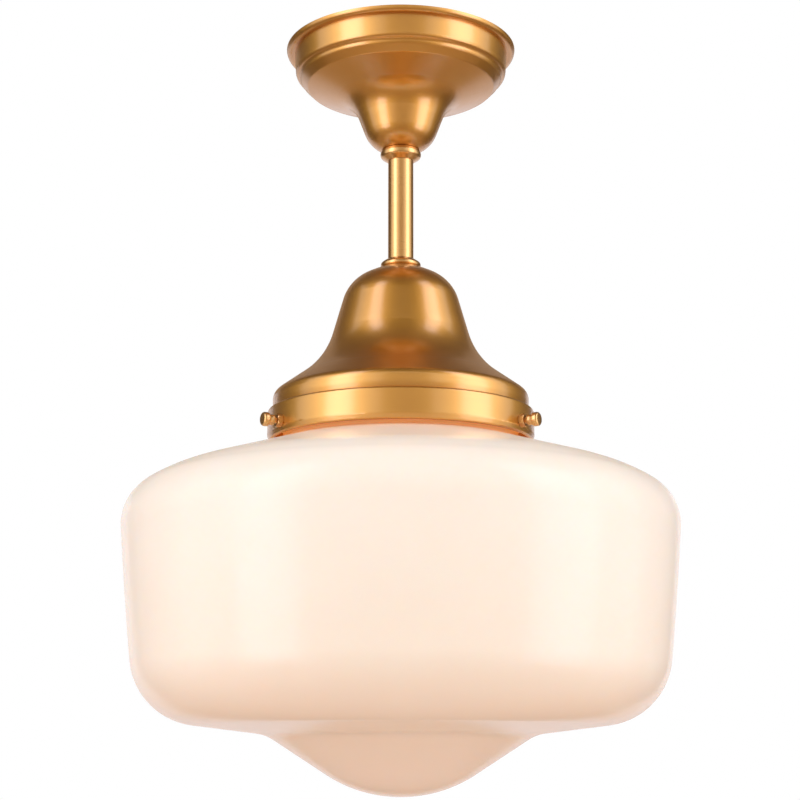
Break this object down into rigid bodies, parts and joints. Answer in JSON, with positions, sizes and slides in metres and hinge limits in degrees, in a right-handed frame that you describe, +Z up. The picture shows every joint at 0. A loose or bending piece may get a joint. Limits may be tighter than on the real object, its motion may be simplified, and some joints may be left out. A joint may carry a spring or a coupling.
{
  "type": "semi flush ceiling light",
  "caption": "Semi flush ceiling light: round canopy, short stem and bell cover, with a schoolhouse glass shade held by thumb screws and a bulb that unscrews.",
  "frame": {"origin": "in the ceiling plane, at the middle of the crossbar's two box-screw slots, on the lamp's axis", "axes": "+Z up into the ceiling along the lamp's axis, +X along the crossbar, -Y towards the viewer of the picture"},
  "size_m": [0.33, 0.3298, 0.4582],
  "materials": {
    "satin_brass": "satin, spun and lacquered",
    "turned_brass": "turned, fine satin",
    "zinc_steel": "zinc plated",
    "green_steel": "green plated",
    "opal_glass": "opal, glossy",
    "porcelain": "glazed white",
    "shell_brass": "bright stamped sheet",
    "soft_tip": "soft, matt",
    "lead_black": "smooth insulation",
    "lead_white": "smooth insulation",
    "frosted_glass": "frosted inside",
    "cap_aluminium": "bright stamped sheet",
    "black_glass": "glossy black",
    "solder": "dull solder"
  },
  "bodies": {
    "root": {"crossbar": "zinc_steel", "ground_screw": "green_steel", "canopy_nipple": "zinc_steel", "crossbar_washer": "zinc_steel", "crossbar_nut": "zinc_steel", "canopy": "satin_brass", "upper_check_ring": "turned_brass", "stem": "turned_brass", "stem_plugs": "turned_brass", "lower_check_ring": "turned_brass", "cover_nipple": "zinc_steel", "bell_cover": "satin_brass", "shade_fitter": "satin_brass", "fitter_washer": "zinc_steel", "fitter_nut": "zinc_steel", "holder_bracket": "zinc_steel", "bracket_nut": "zinc_steel", "bracket_screws": "zinc_steel", "lampholder": "porcelain", "screw_shell": "shell_brass", "shell_rivets": "shell_brass", "contact_tongue": "shell_brass", "lead_live": "lead_black", "lead_neutral": "lead_white", "fitter_screw_nuts": "turned_brass", "glass_shade": "opal_glass"},
    "tip_left": {"screw_tip_left": "soft_tip"},
    "screw_left": {"thumb_screw_left": "turned_brass"},
    "tip_right": {"screw_tip_right": "soft_tip"},
    "screw_right": {"thumb_screw_right": "turned_brass"},
    "tip_back": {"screw_tip_back": "soft_tip"},
    "screw_back": {"thumb_screw_back": "turned_brass"},
    "bulb_centre": {"bulb_contact": "solder"},
    "bulb": {"bulb_insulator": "black_glass", "bulb_cap": "cap_aluminium", "bulb_envelope": "frosted_glass"}
  },
  "joints": [
    {"name": "screw_left_travel", "type": "slide", "parent": "root", "child": "tip_left", "axis": [-0.866, -0.5, 0], "range_m": [0, 0.00455]},
    {"name": "screw_left_turn", "type": "hinge", "parent": "tip_left", "child": "screw_left", "pos_m": [-0.06928, -0.04, -0.2443], "axis": [-0.866, -0.5, 0], "range_deg": [0, 2341]},
    {"name": "screw_right_travel", "type": "slide", "parent": "root", "child": "tip_right", "axis": [0.866, -0.5, 0], "range_m": [0, 0.00455]},
    {"name": "screw_right_turn", "type": "hinge", "parent": "tip_right", "child": "screw_right", "pos_m": [0.06928, -0.04, -0.2443], "axis": [0.866, -0.5, 0], "range_deg": [0, 2341]},
    {"name": "screw_back_travel", "type": "slide", "parent": "root", "child": "tip_back", "axis": [0, 1, 0], "range_m": [0, 0.00455]},
    {"name": "screw_back_turn", "type": "hinge", "parent": "tip_back", "child": "screw_back", "pos_m": [0, 0.08, -0.2443], "axis": [0, 1, 0], "range_deg": [0, 2341]},
    {"name": "bulb_travel", "type": "slide", "parent": "root", "child": "bulb_centre", "axis": [0, 0, -1], "range_m": [0, 0.01814]},
    {"name": "bulb_turn", "type": "hinge", "parent": "bulb_centre", "child": "bulb", "pos_m": [0, 0, -0.3], "axis": [0, 0, -1], "range_deg": [0, 1801]}
  ],
  "couplings": [
    {"joint": "screw_left_turn", "follows": "screw_left_travel", "rad_per_m": 8976},
    {"joint": "screw_right_turn", "follows": "screw_right_travel", "rad_per_m": 8976},
    {"joint": "screw_back_turn", "follows": "screw_back_travel", "rad_per_m": 8976},
    {"joint": "bulb_turn", "follows": "bulb_travel", "rad_per_m": 1731.6}
  ]
}
